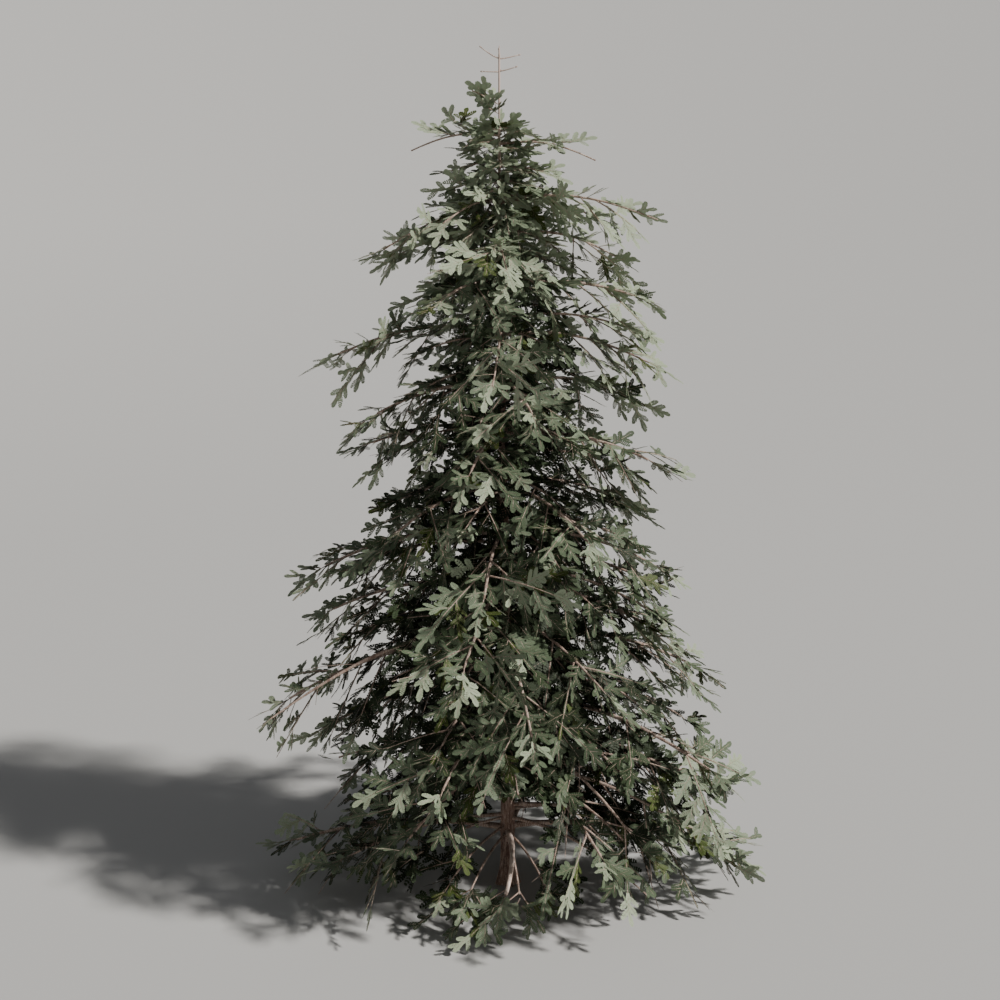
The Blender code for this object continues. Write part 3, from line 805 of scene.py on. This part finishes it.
# %% Twigs and shoots
Growth = namedtuple("Growth", "spacing first last turn narrow length tilt roll droop")
TWIG_GROWTH = Growth(0.070, 0.18, 0.95, 56, 16, 0.18, 0.28, 30, 0.09)
SHOOT_GROWTH = Growth(0.0245, 0.15, 0.96, 52, 16, 0.084, 0.12, 10, 0.07)
DROOP_TOP, MOST_LIFT = 5.5, -0.4  # above this height the shoots are lifted, by this share of the droop
RIB_PIECE = 0.083
SPRIG_SPACING = 0.062
SPRIG_LENGTH = 0.125
GROUND_CLEARANCE = 0.025
VIEW_DISTANCE = 9.53
VIEW_SLOPE = 0.50
GAP_X, GAP_Z, GAP_BACK = (-0.21, 0.24), (-0.05, 0.66), 0.1
BAND_START, BAND_END = (0.556, 0.76, -0.44), (1.10, 0.05, -0.84)
BAND_HALF_WIDTH = 0.085
BAND_ROOM = 0.15
NOTCH_RIGHT, NOTCH_Z = -1.22, (0.55, 1.02)
SKIRT = ((-1.9, -1.2, -0.9, 0.9, 1.4, 1.9), (0.02, -0.05, -0.60, -0.60, -0.28, 0.02))
KEY_AZIMUTH = math.radians(-20.0)
KEY_ELEVATION = math.radians(40.0)
SHAFT_START = 0.02
SHAFT_HEIGHT, SHAFT_SLOPE = 0.42, 0.21  # of the line on which the light falls, where x is nothing
SHAFT_Y = (-0.80, -0.08)
SHAFT_HALF_WIDTH = 0.085
BOX_ROOM = 0.07
DEPTH_CORE = 0.15
BARE_SHARE = 0.30
BARE_DEPTHS = (0.02, 0.34)
BARE_HEIGHT = 1.4


def grow(parents, growth, seed):
    """Stems on stems. The place on the parent goes from first to last in even steps with a random part. The
    angle to the parent narrows towards its tip. The length swells with a sine along the parent. The
    direction is lifted out of the parent's plane by a random tilt, and the new plane is rolled."""
    chance = np.random.default_rng(seed)
    counts = np.maximum(3, ((growth.last - growth.first) * parents.length / growth.spacing).astype(int))
    owner, rank = spread_out(counts)
    count = len(rank)
    own = pick(parents, owner)
    first_side = np.where(chance.random(len(counts)) < 0.5, 1.0, -1.0)[owner]
    is_end = rank == counts[owner] - 1
    span = (growth.last - growth.first) * (rank + chance.uniform(0.2, 0.8, count))
    place = np.where(is_end, growth.last, growth.first + span / counts[owner])
    side = np.where(is_end, 0.0, first_side * np.where(rank % 2 == 0, 1.0, -1.0))
    swell = 0.60 + 0.44 * np.sin(np.pi * (0.12 + 0.76 * place))
    length = np.minimum(growth.length * swell, 0.75 * own.length) * chance.uniform(0.78, 1.16, count)
    lift = np.cross(own.along, own.across)
    turn = side * np.radians(growth.turn - growth.narrow * place) + np.radians(chance.uniform(-8, 8, count))
    along = turned(own.along, own.across, turn)
    droop = growth.droop * np.clip(DROOP_TOP - own.root[:, 2], MOST_LIFT, 1.0)
    along = along + lift * chance.uniform(-growth.tilt, growth.tilt, count)[:, None]
    along = unit(along - UP * droop[:, None])
    across = spray_across(lift, along, chance.uniform(-growth.roll, growth.roll, count))
    root = stem_point(own, place[:, None])[:, 0]
    return Stems(own.bough, root, along, across, length), owner


def between(value, low, high):
    """True where a value lies between two others."""
    return (value > low) & (value < high)


def in_band(seen_x, seen_z, y):
    """True near the straight line of the bare limb on the right, and in front of it."""
    share = np.clip((seen_x - BAND_START[0]) / (BAND_END[0] - BAND_START[0]), -BAND_ROOM, 1.0)
    band_z, band_y = (BAND_START[k] + (BAND_END[k] - BAND_START[k]) * share for k in (1, 2))
    near = np.abs(seen_z - band_z) < BAND_HALF_WIDTH
    return near & between(share, -BAND_ROOM, 1.0) & (y < band_y + BAND_ROOM)


def in_shaft(x, y, z):
    """True where a point would shade the front bough. The point is moved along the key light to the plane
    where x is the shaft's start, and compared with the bough's line there."""
    away = np.maximum(x - SHAFT_START, 0.0)
    shaft_y = y - away * math.tan(KEY_AZIMUTH)
    shaft_z = z - away * math.tan(KEY_ELEVATION) / math.cos(KEY_AZIMUTH)
    near = np.abs(shaft_z - SHAFT_HEIGHT - SHAFT_SLOPE * shaft_y) < SHAFT_HALF_WIDTH
    return near & between(shaft_y, *SHAFT_Y) & (away > 0.0)


def is_clear(stems):
    """False where a stem would touch the ground, reach out of the solids' box or hang below the crown's
    skirt, and in four openings: the gap before the trunk's foot, the band before the bare limb on the
    right, the notch in the left side and the shaft of light to the front bough. All but the last slope as
    the line of sight does: what counts is x as it looks from afar, and the height plus y times the
    slope."""
    x, y, z = (stems.root + 0.5 * stems.along * stems.length[:, None]).T
    tips = stem_point(stems, np.ones((len(stems.length), 1)))[:, 0]
    low, high = np.array(solid_box[0]) - BOX_ROOM, np.array(solid_box[1]) + BOX_ROOM
    in_box = ((tips > low) & (tips < high))[:, :2].all(axis=1)
    seen_x = x * VIEW_DISTANCE / (VIEW_DISTANCE + y)
    seen_z = z + y * VIEW_SLOPE
    in_gap = between(seen_x, *GAP_X) & between(seen_z, *GAP_Z) & (y < GAP_BACK)
    in_notch = (seen_x < NOTCH_RIGHT) & between(seen_z, *NOTCH_Z)
    in_opening = in_gap | in_band(seen_x, seen_z, y) | in_notch | in_shaft(x, y, z)
    over_skirt = seen_z > np.interp(seen_x, *SKIRT)
    return (np.minimum(z, tips[:, 2]) > GROUND_CLEARANCE) & in_box & over_skirt & ~in_opening


def sprigs_of(boughs, seed):
    """Short twigs straight on the boughs, which cover their upper sides. Their spacing is even, they lean
    to the left and the right in turn, and they stand up from the bough by a random angle."""
    chance = np.random.default_rng(seed)
    last = 1.0 - np.maximum(boughs["bare_tip"], 0.5 * tip_room(boughs))
    first = np.minimum(np.maximum(boughs["bare_limb"], 0.06), last)
    counts = ((last - first) * boughs["reach"] / SPRIG_SPACING).astype(int)
    owner, rank = spread_out(counts)
    span = (last - first)[owner] * (rank + chance.uniform(0.0, 1.0, len(rank)))
    root, direction, side = seat(boughs[owner], first[owner] + span / counts[owner])
    turn = np.where(rank % 2 == 0, 1.0, -1.0) * np.radians(chance.uniform(18, 62, len(rank)))
    along = turned(direction, side, turn)
    rise = np.radians(chance.uniform(-16, 38, len(rank)))
    along = unit(turned(along, np.cross(direction, side), rise))
    across = spray_across(UP, along, chance.uniform(-50, 50, len(rank)))
    length = SPRIG_LENGTH * chance.uniform(0.7, 1.25, len(rank))
    return Stems(owner, root, along, across, np.minimum(length, 0.02 + 0.3 * boughs["reach"][owner]))


def rib_shoots(stems, first):
    """The needles on a stem itself: short shoots end to end along it, from a first share to its tip."""
    counts = np.maximum(1, np.ceil((1.0 - first) * stems.length / RIB_PIECE).astype(int))
    owner, rank = spread_out(counts)
    own = pick(stems, owner)
    start = first + (1.0 - first) * rank / counts[owner]
    stop = first + (1.0 - first) * (rank + 1) / counts[owner]
    root = stem_point(own, start[:, None])[:, 0]
    ahead = stem_point(own, stop[:, None])[:, 0] - root
    along = unit(ahead)
    across = unit(np.cross(np.cross(own.along, own.across), along))
    return Stems(own.bough, root, along, across, np.linalg.norm(ahead, axis=-1)), owner


def crown_depth(points):
    """How far inside the crown's outline each point lies, in metres. The outline's reach is interpolated
    between the tips of the levels, and goes round as an ellipse's quarters do."""
    tips = np.array([(level.height - level.drop, level.left, level.right, level.front) for level in LEVELS])
    sides = [np.interp(points[:, 2], tips[:, 0], tips[:, k]) for k in (1, 2, 3)]
    outwards = points[:, :2] - trunk_centre(points[:, 2])[:, :2]
    distance = np.linalg.norm(outwards, axis=1)
    cosine, sine = (outwards / np.maximum(distance, 1e-6)[:, None]).T
    cone = DEPTH_CORE + CONE_SLOPE * (CONE_TOP - points[:, 2])
    return np.minimum(crown_reach(*sides, cosine, sine), cone) - distance


def bare_twigs(branches, seed):
    """Thin twigs without needles, which stand out beyond the tips of some branches in the upper crown."""
    chance = np.random.default_rng(seed)
    tip = stem_point(branches, np.full((len(branches.length), 1), 0.97))[:, 0]
    depth = crown_depth(tip)
    near_outline = between(depth, *BARE_DEPTHS) & (tip[:, 2] > BARE_HEIGHT)
    chosen = near_outline & (chance.random(len(tip)) < BARE_SHARE)
    some = pick(branches, chosen)
    along = unit(some.along + chance.normal(0.0, 0.10, some.along.shape))
    return Stems(some.bough, tip[chosen], along, some.across, chance.uniform(0.10, 0.20, len(some.length)))


LIMB_TWIGS = (  # limb, share, turn, hang, length
    (-6, 0.62, -34, -12, 0.40),
    (-6, 0.78, 62, 40, 0.12),
    (-5, 0.60, -30, -28, 0.24),
    (-5, 0.72, -26, -22, 0.18),
    (-4, 0.74, 96, 52, 0.22),
)


def limb_twigs():
    """The bare twigs on bare limbs, one for each line of the table: the limb, counted back from the last
    bough, the share along it, the turn aside, the hang and the length."""
    limb, share, turn, hang, length = (np.array(column) for column in zip(*LIMB_TWIGS))
    limb = limb.astype(int) + len(BOUGHS)
    root, direction, aside = seat(BOUGHS[limb], share)
    along = unit(turned(turned(direction, aside, np.radians(turn)), -UP, np.radians(hang)))
    return Stems(limb, root, along, unit(np.cross(UP, along)), length)


BRANCHES = pick(BRANCHES, is_clear(BRANCHES))
TWIGS, _ = grow(BRANCHES, TWIG_GROWTH, 31)
TWIGS = together(TWIGS, sprigs_of(BOUGHS, 33))
TWIGS = pick(TWIGS, is_clear(TWIGS))
SIDE_SHOOTS, TWIG_OF_SIDE = grow(TWIGS, SHOOT_GROWTH, 32)
TWIG_RIBS, TWIG_OF_RIB = rib_shoots(TWIGS, 0.12)
BRANCH_RIBS, _ = rib_shoots(BRANCHES, 0.25)
BARE_TWIGS = together(bare_twigs(BRANCHES, 51), limb_twigs())
print(len(TWIGS.length), "twigs and", len(SIDE_SHOOTS.length), "side shoots")

# %% [markdown]
# ## Tints
#
# Silver firs look silvery because of the bloom on their needles. Each twig's spray gets one of six plain
# tints, drawn by chance from what suits its depth in the crown and its height. The outer sprays get the
# silver tints and the inner ones a deep green: partly real, as the inner needles are older and greener, and
# partly painted light and shade for the sunlit outside and the dark inside of the crown. The depth is the
# crown's reach at that height less the spray's own distance from the trunk.

# %% Tints
# From silver to deep green. Dealt by depth, the darker ones are partly the older needles' own green and
# partly painted shade.
TINTS = (
    ("needles silver", (0.292, 0.346, 0.236)),
    ("needles silver green", (0.184, 0.232, 0.150)),
    ("needles grey green", (0.090, 0.122, 0.070)),
    ("needles green", (0.041, 0.061, 0.029)),
    ("needles deep green", (0.018, 0.028, 0.011)),
    ("needles olive", (0.060, 0.084, 0.018)),
)
# Deeper sprays draw darker tints: partly the inner needles' own green, partly painted shade inside the crown.
DEPTH_STEP = 0.15
DEPTH_STEP_GROWTH = 0.02  # for each metre of height
# Steps added by height: more steps are painted shade, and fewer, as at the top, are painted light.
PAINTED_SHADE_STEPS = ((0.6, 2.0, 2.8, 4.0, 5.0), (0.10, 0.70, 0.65, 0.20, -0.60))  # height, and steps added there
OLIVE_SHARE = 0.06


def tint_of(depth, height, seed):
    """The depth in steps plus a random number, cut to the five tints, and now and then the olive one. The
    steps are longer higher up, and the start is darkest a third of the way up. The darker tints deeper in
    are partly painted shade, and the lighter start near the top is painted light."""
    chance = np.random.default_rng(seed)
    step = DEPTH_STEP + DEPTH_STEP_GROWTH * height
    draw = depth / step + chance.normal(0.0, 1.0, len(depth)) + np.interp(height, *PAINTED_SHADE_STEPS)
    tint = np.clip(np.floor(draw), 0, 4)
    return np.where(chance.random(len(depth)) < OLIVE_SHARE, 5, tint).astype(int)


def depth_of(stems):
    """The depth and the height of each stem's point a little beyond its middle."""
    points = stem_point(stems, np.full((len(stems.length), 1), 0.6))[:, 0]
    return crown_depth(points), points[:, 2]


(TWIG_DEPTH, TWIG_HEIGHT), (RIB_DEPTH, RIB_HEIGHT) = depth_of(TWIGS), depth_of(BRANCH_RIBS)
TWIG_TINTS = tint_of(TWIG_DEPTH, TWIG_HEIGHT, 41)
SHOOTS = together(SIDE_SHOOTS, TWIG_RIBS, BRANCH_RIBS)
DEPTHS = np.concatenate([TWIG_DEPTH[TWIG_OF_SIDE], TWIG_DEPTH[TWIG_OF_RIB], RIB_DEPTH])
RIB_TINTS = tint_of(RIB_DEPTH, RIB_HEIGHT, 42)
TINT_OF_SHOOT = np.concatenate([TWIG_TINTS[TWIG_OF_SIDE], TWIG_TINTS[TWIG_OF_RIB], RIB_TINTS])
KEPT = is_clear(SHOOTS)
SHOOTS, DEPTHS, TINT_OF_SHOOT = pick(SHOOTS, KEPT), DEPTHS[KEPT], TINT_OF_SHOOT[KEPT]
print(len(DEPTHS), "shoots by tint:", np.bincount(TINT_OF_SHOOT))

# %% [markdown]
# ## Needles
#
# A fir's needle is flat and blunt, about two centimetres long, and sits in a row on each side of the
# shoot. One needle is a slanted strip of two triangles. The rows of one shoot are a template, worked out
# once in a few variants, and every shoot stretches a copy of it along its own directions. The needles are
# wider than life, so that fewer of them close the row. Deep in the crown, where little light comes in, a
# coarser template with half as many is enough.

# %% Needles
FINE_PAIRS, FINE_WIDTH = 8, 0.0118
COARSE_PAIRS, COARSE_WIDTH = 5, 0.0180
PAIR_TRIANGLES = 4
NEEDLE_LENGTH = 0.0215
NEEDLE_SAG = 0.05
VARIANTS = 6
FINE_DEPTH = 0.60


def needle_template(pairs, width, seed):
    """The needles of one shoot. Each point has four numbers: its share of the shoot's length, and metres
    ahead, across and out of the plane. Needles point forward more towards the tip, and are shorter at both
    ends."""
    chance = np.random.default_rng(seed)
    place = np.tile((np.arange(pairs) + 0.40) / pairs, 2)
    side = np.repeat([1.0, -1.0], pairs)
    count = len(place)
    lean = np.radians(62.0 - 46.0 * np.maximum(0.0, place - 0.60) / 0.40 + chance.uniform(-4, 4, count))
    length = NEEDLE_LENGTH * (0.62 + 0.42 * np.sin(np.pi * place**1.3)) * chance.uniform(0.92, 1.08, count)
    forward, outward = np.cos(lean), side * np.sin(lean)
    raised = chance.uniform(0.02, 0.12, count) * length
    zero = np.zeros(count)
    root = np.stack([place, zero, zero, zero], -1)
    tip = np.stack([zero, length * forward, length * outward, raised], -1)
    half = 0.5 * width
    ahead = np.stack([zero, half * np.abs(outward), -half * side * forward, zero], -1)
    corners = [root - 0.7 * ahead, root + 0.88 * tip - ahead, root + tip + 0.7 * ahead, root + 0.7 * ahead]
    points = np.stack(corners, 1).reshape(-1, 4)
    start = 4 * np.arange(count)[:, None]
    right = np.concatenate([start + [0, 1, 2], start + [0, 2, 3]], 1).reshape(-1, 3)
    return points, np.where(np.repeat(side, 2)[:, None] > 0, right, right[:, ::-1])


FINE = [needle_template(FINE_PAIRS, FINE_WIDTH, seed) for seed in range(VARIANTS)]
COARSE = [needle_template(COARSE_PAIRS, COARSE_WIDTH, seed) for seed in range(VARIANTS)]


def needles_of(shoots, templates, seed):
    """Every shoot's needles: its root, plus its direction times the template's share and metres ahead, plus
    its across and lift directions times the template's, and a small sag with the square of the share."""
    chance = np.random.default_rng(seed)
    variant = chance.integers(0, VARIANTS, len(shoots.length))
    wide = chance.uniform(0.84, 1.12, len(shoots.length))
    template = np.stack([points for points, _ in templates])[variant]
    share, ahead, outward, raised = (template[..., k] for k in range(4))
    lift = np.cross(shoots.along, shoots.across)
    reach = share * shoots.length[:, None] + ahead * wide[:, None]
    sag = NEEDLE_SAG * shoots.length[:, None] * share**2
    points = shoots.root[:, None] + shoots.along[:, None] * reach[..., None]
    points = points + shoots.across[:, None] * (outward * wide[:, None])[..., None]
    points = points + lift[:, None] * raised[..., None] - UP * sag[..., None]
    faces = np.stack([faces for _, faces in templates])[variant]
    faces = faces + (np.arange(len(points)) * points.shape[1])[:, None, None]
    return points.reshape(-1, 3), faces.reshape(-1, 3)


def needle_finish(name, colour):
    """A plain tint, half matt."""
    finish = Finish(name)
    finish.set(base_color=(*colour, 1.0), roughness=0.62, specular_ior_level=0.3)
    return finish.material


NEEDLE_FINISHES = [needle_finish(name, colour) for name, colour in TINTS]
print("a fine shoot has", len(FINE[0][1]), "triangles, a coarse one", len(COARSE[0][1]))

# %% [markdown]
# The wood of the sprays is made of thin tubes too. Their sides are few, because they are only millimetres
# thick.

# %% Wood of the sprays
SPIKE_RADIUS = 0.0019
SPIKE_LENGTH = 0.9  # of the shoot


def stem_tubes(stems, rings, sides, foot, growth, taper):
    """Tubes along stems, thick in proportion to the length, and thinner to the tip."""
    share = np.broadcast_to(np.linspace(0.0, 1.0, rings), (len(stems.length), rings))
    thick = foot + growth * stems.length[:, None]
    return tubes(stem_point(stems, share), thick * (1.0 - taper * share), sides)


def shoot_spikes(shoots):
    """The wood of each shoot: a three-sided spike, thick at its root and pointed at its end."""
    side, lift = shoots.across, np.cross(shoots.along, shoots.across)
    angle = 2.0 * np.pi * np.arange(3) / 3
    ring = side[:, None] * np.cos(angle)[:, None] + lift[:, None] * np.sin(angle)[:, None]
    tip = shoots.root + shoots.along * (SPIKE_LENGTH * shoots.length)[:, None]
    points = np.concatenate([shoots.root[:, None] + SPIKE_RADIUS * ring, tip[:, None]], 1)
    spike = np.array([[1, 0, 2], [0, 1, 3], [1, 2, 3], [2, 0, 3]])
    faces = spike[None] + (4 * np.arange(len(points)))[:, None, None]
    return points.reshape(-1, 3), faces.reshape(-1, 3)


def on_level(stems, level):
    """The stems on a level's boughs."""
    return pick(stems, BOUGHS["level"][stems.bough] == level)


# %% Sprays, level by level
totals = {"needles": 0, "twigs": 0}
for level in range(1, len(LEVELS) + 1):
    here = BOUGHS["level"][SHOOTS.bough] == level
    outer, inner = here & (DEPTHS < FINE_DEPTH), here & ~(DEPTHS < FINE_DEPTH)
    near, deep = pick(SHOOTS, outer), pick(SHOOTS, inner)
    points, faces = joined([needles_of(near, FINE, 50 + level), needles_of(deep, COARSE, 80 + level)])
    fine_tints = np.repeat(TINT_OF_SHOOT[outer], PAIR_TRIANGLES * FINE_PAIRS)
    coarse_tints = np.repeat(TINT_OF_SHOOT[inner], PAIR_TRIANGLES * COARSE_PAIRS)
    tints = np.concatenate([fine_tints, coarse_tints])
    needles = make_piece(f"needles_{level:02d}", points, faces, NEEDLE_FINISHES, tints)
    keep(needles, level_nodes(level))
    branches, twigs, bare = (on_level(stems, level) for stems in (BRANCHES, TWIGS, BARE_TWIGS))
    parts = [
        stem_tubes(branches, rings=5, sides=5, foot=0.0025, growth=0.0085, taper=0.7),
        stem_tubes(twigs, rings=3, sides=3, foot=0.0014, growth=0.006, taper=0.6),
    ]
    if len(bare.length):
        parts.append(stem_tubes(bare, rings=4, sides=4, foot=0.0026, growth=0.0, taper=0.45))
    wood = make_piece(f"twigs_{level:02d}", *joined([*parts, shoot_spikes(near)]), [LIMB_BARK])
    keep(wood, level_nodes(level))
    totals["needles"] += len(faces)
    totals["twigs"] += len(wood.data.polygons)
    print(level, len(faces), "triangles of needles,", len(wood.data.polygons), "of twigs")
print("in all", totals)

# %% [markdown]
# ## Floor and light
#
# The studio is a plain pale floor that rises gently far away, like a wide bowl, so no edge shows behind
# the tree from any side. A key light comes from the right and the front, which leaves the left of the
# crown in shade, and the pale surroundings fill the shadows.

# %% Studio
FLOOR_RADIUS = 12.0
SLOPE_RADIUS = 40.0
RIM_RADIUS = 120.0
RIM_SLOPE = 0.27
FLOOR_SIDES = 96
FLOOR_COLOUR = (0.485, 0.485, 0.476)
KEY_STRENGTH = 5.3
KEY_SPREAD = math.radians(4.0)
KEY_COLOUR = (1.0, 0.965, 0.92)
SURROUNDINGS_COLOUR = (0.82, 0.84, 0.88)
SURROUNDINGS_STRENGTH = 0.165


def studio_floor():
    """A profile carried round a circle: flat as far as the floor's radius, then a parabola until it rises
    by the rim's slope, and straight on to the rim."""
    distance = np.concatenate([[0.0, 6.0], np.linspace(FLOOR_RADIUS, SLOPE_RADIUS, 24), [RIM_RADIUS]])
    past = np.clip(distance - FLOOR_RADIUS, 0.0, SLOPE_RADIUS - FLOOR_RADIUS)
    height = 0.5 * RIM_SLOPE * past**2 / (SLOPE_RADIUS - FLOOR_RADIUS)
    height = height + RIM_SLOPE * np.maximum(distance - SLOPE_RADIUS, 0.0)
    angle = 2.0 * np.pi * np.arange(FLOOR_SIDES) / FLOOR_SIDES
    d, h, turn = distance[:, None], height[:, None], angle[None]
    grid = np.stack([d * np.cos(turn), d * np.sin(turn), h + 0.0 * turn], axis=-1)
    ring, k = np.meshgrid(np.arange(len(distance) - 1), np.arange(FLOOR_SIDES), indexing="ij")
    a, b = (ring * FLOOR_SIDES + k).ravel(), (ring * FLOOR_SIDES + (k + 1) % FLOOR_SIDES).ravel()
    outer_a, outer_b = a + FLOOR_SIDES, b + FLOOR_SIDES
    faces = np.concatenate([np.stack([a, outer_a, outer_b], 1), np.stack([a, outer_b, b], 1)])
    finish = Finish("pale floor")
    finish.set(base_color=(*FLOOR_COLOUR, 1.0), roughness=0.9)
    return make_piece("floor", grid.reshape(-1, 3), faces, [finish.material], smooth=True)


def add_sun(name, azimuth, elevation, strength, spread, colour):
    """A distant light from an azimuth and an elevation, soft by its spread."""
    light = bpy.data.objects.new(name, bpy.data.lights.new(name, "SUN"))
    bpy.context.scene.collection.objects.link(light)
    light.data.energy = strength
    light.data.angle = spread
    light.data.color = colour
    flat = math.cos(elevation)
    towards = Vector((flat * math.cos(azimuth), flat * math.sin(azimuth), math.sin(elevation)))
    light.rotation_euler = towards.to_track_quat("Z", "Y").to_euler()
    return light


studio_floor()
add_sun("key", KEY_AZIMUTH, KEY_ELEVATION, KEY_STRENGTH, KEY_SPREAD, KEY_COLOUR)
world = bpy.data.worlds.new("studio")
bpy.context.scene.world = world
world.use_nodes = True
background = world.node_tree.nodes["Background"]
background.inputs["Color"].default_value = (*SURROUNDINGS_COLOUR, 1.0)
background.inputs["Strength"].default_value = SURROUNDINGS_STRENGTH
